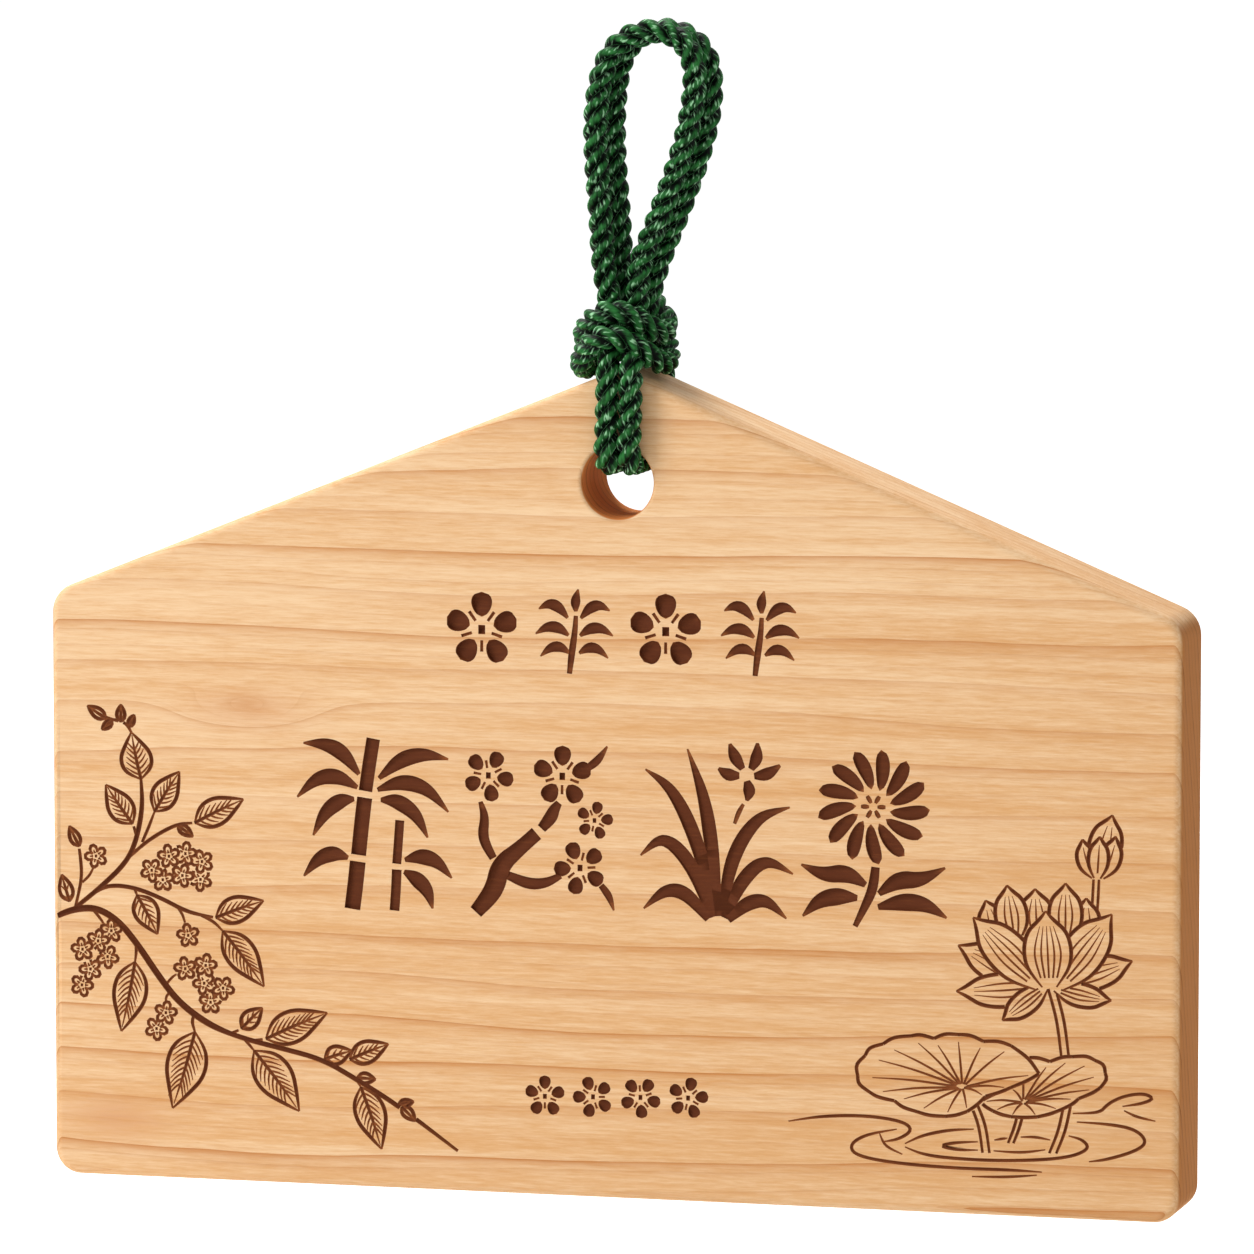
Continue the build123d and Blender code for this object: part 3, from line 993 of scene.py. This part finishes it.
for bloom in [
    [(3.2, 8.2), (2.2, 9.6), (1.6, 11.2)],
    [(4.2, 8.2), (5.0, 9.6), (5.0, 11.4)],
    [(2.8, 7.4), (1.4, 7.4), (0.2, 8.2)],
    [(4.6, 7.4), (6.2, 7.6), (7.8, 8.8)],
    [(3.7, 6.8), (4.1, 5.6), (3.7, 4.4)],
]:
    brush(shifted(bloom, orchid), 1.9, 0.4, 0.2)
brush(shifted([(2.2, 1.6), (2.7, 3.0), (3.3, 4.0)], orchid), 0.7, 0.6, 0.6)
aster = (31.5, 44.8)
heart = (aster[0], aster[1] + ASTER_HEART)
for n in range(ASTER_PETALS):
    angle = 2 * math.pi * (n + 0.25) / ASTER_PETALS
    round_petal([around(heart, r, angle + 0.05 * r) for r in np.linspace(2.1, 6.9, ROUND_STEPS)], 0.95)
for n in range(ASTER_HEART_STROKES):
    angle = 2 * math.pi * n / ASTER_HEART_STROKES
    brush([around(heart, r, angle) for r in (0.5, 1.0, 1.5)], 0.7, 0.5, 0.6)
brush(shifted([(0.3, -3.4), (0.0, -6.0), (-0.9, -8.0), (-2.2, -10.6)], aster), 1.3, 0.8, 0.5)
for blade in [
    [(0.7, -6.6), (3.0, -4.8), (5.8, -4.8), (8.8, -3.2)],
    [(0.6, -8.2), (3.6, -7.4), (6.4, -7.6), (9.0, -9.2)],
    [(-0.9, -5.6), (-3.2, -4.2), (-6.0, -4.6), (-8.8, -3.4)],
    [(-1.9, -7.2), (-4.2, -7.0), (-6.6, -7.6), (-8.6, -9.6)],
]:
    brush(shifted(blade, aster), 2.3, 0.3, 0.12)
print("bold strokes", len(bold_cuts))

# %% [markdown]
# The small ornaments are the blossom again, at two sizes, and a sprig whose leaves are mirrored on its stem.

# %% Rows of small ornaments
for centre in [(-16.8, 68.4), (6.0, 68.8)]:
    blossom(centre, 4.3, math.pi / 2)
for centre in [(-5.3, 68.4), (17.6, 68.8)]:
    brush(shifted([(-0.6, -5.0), (-0.3, -2.4), (0.1, 0.2), (0.2, 2.0)], centre), 0.9, 0.7, 0.6)
    brush(shifted([(0.2, 2.5), (0.1, 3.7), (0.5, 5.2)], centre), 1.6)
    for turn in (-1, 1):
        for leaflet, width in [
            ([(0.8, 1.7), (2.0, 3.1), (3.2, 3.4), (4.4, 2.7)], 1.5),
            ([(0.7, -0.4), (2.0, 0.6), (3.4, 0.6), (4.8, -0.3)], 1.5),
            ([(0.6, -2.5), (1.8, -1.7), (3.0, -1.9), (4.2, -3.0)], 1.4),
        ]:
            brush(shifted([(turn * a, b) for a, b in leaflet], centre), width)
for n, x in enumerate((-9.0, -3.0, 2.9, 8.8)):
    blossom((x, 12.4 + 0.03 * x), 2.4, math.pi / 2 + 0.35 * n)
print("fine", len(fine_cuts), "bold", len(bold_cuts))

# %% [markdown]
# The cut wood is burnt brown: lighter where a stroke meets the face, darker on its floor, with the grain
# still showing. One dark colour would look painted on, so the shade follows the depth of the cut.


# %% Burnt wood material
def make_burnt():
    """Burnt wood: darker with depth below the face, with the fibres still showing."""
    material, shader, place = new_material("burnt_cut")
    parts = place.add("ShaderNodeSeparateXYZ", {}, {0: place})
    y = Field(parts.socket.node.outputs[1])
    depth = (y + half_thickness / MM).fade(0.0, 0.3)
    fibre = noise(place, (0.25, 2.5, 3.0), 4.0, 0.6)
    shade = (depth + fibre * 1.2).fade(-0.1, 1.1)
    feed(shader, "Base Color", shade.tint(colour(150, 84, 40), colour(98, 46, 18)))
    raised = place.add("ShaderNodeBump", {}, {"Strength": 0.5, "Distance": 0.12 * MM, "Height": fibre})
    feed(shader, "Normal", raised)
    shader.inputs["Roughness"].default_value = 0.75
    shader.inputs["Specular IOR Level"].default_value = 0.2
    return material


burnt = make_burnt()
board.data.materials.append(burnt)
print(burnt.name, len(burnt.node_tree.nodes), "nodes")

# %% [markdown]
# Strokes that touch are cut in different passes, because one cutter must not lie in itself. Each pass is one
# flat curve with many splines, stood up against the face, turned into a mesh and taken from the board. Fine
# lines have a round section, and broad strokes a flat floor and steep walls.


# %% Cut the strokes
PASS_GAP = 0.08
CUTTER_WELD = 0.001 * MM


def gap(stroke, other):
    """The least distance between the edges of two strokes."""
    lines_apart = np.linalg.norm(stroke[:, None, :2] - other[None, :, :2], axis=2).min()
    return lines_apart - other[:, 2].max() - stroke[:, 2].max()


def sort_passes(cuts):
    """Passes in which no two strokes touch."""
    passes = []
    for stroke in cuts:
        for others in passes:
            if min(gap(stroke, other) for other in others) > PASS_GAP:
                others.append(stroke)
                break
        else:
            passes.append([stroke])
    return passes


def flat_curve(name, strokes, closed=False):
    """A flat curve with one spline for each stroke, its radius the half width in millimetres."""
    curve = bpy.data.curves.new(name, "CURVE")
    curve.dimensions = "2D"
    curve.fill_mode = "NONE"
    for stroke in strokes:
        spline = curve.splines.new("POLY")
        spline.points.add(len(stroke) - 1)
        spline.use_cyclic_u = closed
        for point, (x, h, half) in zip(spline.points, stroke):
            point.co = (x * MM, h * MM, 0.0, 1.0)
            point.radius = half
    piece = bpy.data.objects.new(name, curve)
    bpy.context.scene.collection.objects.link(piece)
    return piece


def cutter(name, strokes, section):
    """One closed mesh for the strokes of a pass, stood up against the face of the board."""
    tool = flat_curve(name, strokes)
    tool.data.use_fill_caps = True
    if section:
        tool.data.bevel_mode = "OBJECT"
        tool.data.bevel_object = section
    else:
        tool.data.bevel_depth = MM
        tool.data.bevel_resolution = 2
    tool.rotation_euler.x = math.pi / 2
    tool.location = (APEX.x, front_y, board_low.z)
    only(tool)
    bpy.ops.object.convert(target="MESH")
    bpy.ops.object.transform_apply(location=True, rotation=True, scale=True)
    bpy.ops.object.mode_set(mode="EDIT")
    bpy.ops.mesh.select_all(action="SELECT")
    bpy.ops.mesh.remove_doubles(threshold=CUTTER_WELD)
    bpy.ops.mesh.normals_make_consistent(inside=False)
    bpy.ops.object.mode_set(mode="OBJECT")
    tool.data.materials.clear()
    tool.data.materials.append(burnt)
    return tool


def carve(cuts, name, section=None):
    """Take the strokes from the board, pass by pass."""
    for number, strokes in enumerate(sort_passes(cuts)):
        tool = cutter(f"{name}_{number}", strokes, section)
        depth = max(v.co.y for v in tool.data.vertices) - front_y
        only(board)
        cut = board.modifiers.new("cut", "BOOLEAN")
        cut.operation = "DIFFERENCE"
        cut.solver = "MANIFOLD"
        cut.material_mode = "TRANSFER"
        cut.object = tool
        before = len(board.data.polygons)
        bpy.ops.object.modifier_apply(modifier="cut")
        added = len(board.data.polygons) - before
        print(tool.name, len(strokes), "strokes,", round(depth / MM, 2), "mm deep,", added, "more faces")
        bpy.data.objects.remove(tool)


left_wall = [(-1.0, 0.4, 1), (-1.0, -0.05, 1), (-0.88, -0.55, 1)]
right_wall = [(0.88, -0.55, 1), (1.0, -0.05, 1), (1.0, 0.4, 1)]
gouge = flat_curve("gouge", [np.array(left_wall + right_wall)], closed=True)
carve(bold_cuts, "bold", gouge)
carve(fine_cuts, "fine")
bpy.data.objects.remove(gouge)
print(board.name, len(board.data.polygons), "faces")

# %% [markdown]
# ## Finish and declare
# The board is planed flat and softened at its edges. Smooth shading all over would bend the light on its
# faces, so the rounded edges and the walls of the cuts are shaded smooth, and the front and back stay flat.

# %% Smooth the board
SMOOTH_BELOW = math.radians(32)
FACES_FRONT = 0.9999
only(board)
bpy.ops.object.shade_smooth_by_angle(angle=SMOOTH_BELOW)
for face in board.data.polygons:
    face.use_smooth = abs(face.normal.y) < FACES_FRONT
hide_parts("board")
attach(board, "plaque")
print(board.name, len(board.data.polygons), "faces")

# %% [markdown]
# A limp cord bends where the plaque turns or swings on it. Each rope could ride on one body, but it would
# then tear from the next one, so the loops and the strands of the strap are left in the frame without a body,
# and the frame's solids that each rope stands for are hidden. The knot is tight and rides on the plaque.

stands_for = {
    "loop_front": ["cord_loop_front"],
    "loop_rear": ["cord_loop_rear"],
    "strap_left": ["cord_strap_left", "cord_neck_left"],
    "strap_right": ["cord_strap_right", "cord_neck_right"],
    "knot": ["cord_knot"],
}
for name, rope in ropes.items():
    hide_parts(*stands_for[name])
    if name == "knot":
        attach(rope, "plaque")
    elif name.startswith("loop"):
        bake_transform(rope)
    else:
        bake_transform(rope)
    spots = lines[name]
    length = float(np.linalg.norm(np.diff(spots, axis=0), axis=1).sum())
    print(rope.name, round(length / MM, 1), "mm")

# %% [markdown]
# ## Stage
# The photograph has a plain white ground, a soft key light from the upper left, and a light from behind that
# brightens the slopes. The floor lies below the plaque, which hangs, and both floor and world are white to
# the camera. A white picture behind the plaque would do for one view, but this holds from every side.


# %% Floor, world and lights
WORLD_FILL = 0.44
FLOOR_SIZE = 30.0
FLOOR_BELOW = 0.05
FLOOR_GREY = (0.9, 0.9, 0.9, 1.0)
FLOOR_GLOW = 0.65
WHITE = (1.0, 1.0, 1.0, 1.0)
BLACK = (0.0, 0.0, 0.0, 1.0)


def add_light(name, place, aim, size, power):
    """A square soft light at a place, turned to its aim."""
    light = bpy.data.objects.new(name, bpy.data.lights.new(name, "AREA"))
    light.data.size = size
    light.data.energy = power
    light.location = place
    light.rotation_euler = (Vector(place) - Vector(aim)).to_track_quat("Z", "Y").to_euler()
    bpy.context.scene.collection.objects.link(light)
    return light


def make_world():
    """Even light for the object, and plain white for the camera and for what it sees reflected."""
    world = bpy.data.worlds.new("white_ground")
    world.use_nodes = True
    tree = world.node_tree
    background = tree.nodes["Background"]
    path = Field(tree.nodes.new("ShaderNodeLightPath").outputs["Is Camera Ray"])
    glossy = Field(path.socket.node.outputs["Is Glossy Ray"])
    through = Field(path.socket.node.outputs["Is Transmission Ray"])
    seen = path.sum("MAXIMUM", path.sum("MAXIMUM", path, glossy), through)
    feed(background, "Strength", WORLD_FILL + (1.0 - WORLD_FILL) * seen)
    background.inputs["Color"].default_value = WHITE
    bpy.context.scene.world = world


bpy.ops.mesh.primitive_plane_add(size=FLOOR_SIZE, location=(0.0, 0.0, board_low.z - FLOOR_BELOW))
floor = bpy.context.active_object
floor.name = "floor"
floor_material, floor_shader, _ = new_material("white_floor")
floor_shader.inputs["Base Color"].default_value = FLOOR_GREY
floor_shader.inputs["Roughness"].default_value = 1.0
floor_shader.inputs["Specular IOR Level"].default_value = 0.0
seen = Field(floor_material.node_tree.nodes.new("ShaderNodeLightPath").outputs["Is Camera Ray"])
feed(floor_shader, "Emission Color", seen.tint(BLACK, WHITE))
floor_shader.inputs["Emission Strength"].default_value = FLOOR_GLOW
floor.data.materials.append(floor_material)
make_world()
key = add_light("key", place=(-0.75, -0.75, 0.65), aim=(0.0, 0.0, -0.08), size=0.5, power=8.4)
rim = add_light("rim", place=(-0.45, 0.35, 0.75), aim=(0.0, 0.0, -0.05), size=0.4, power=7.8)
print("stage ready")
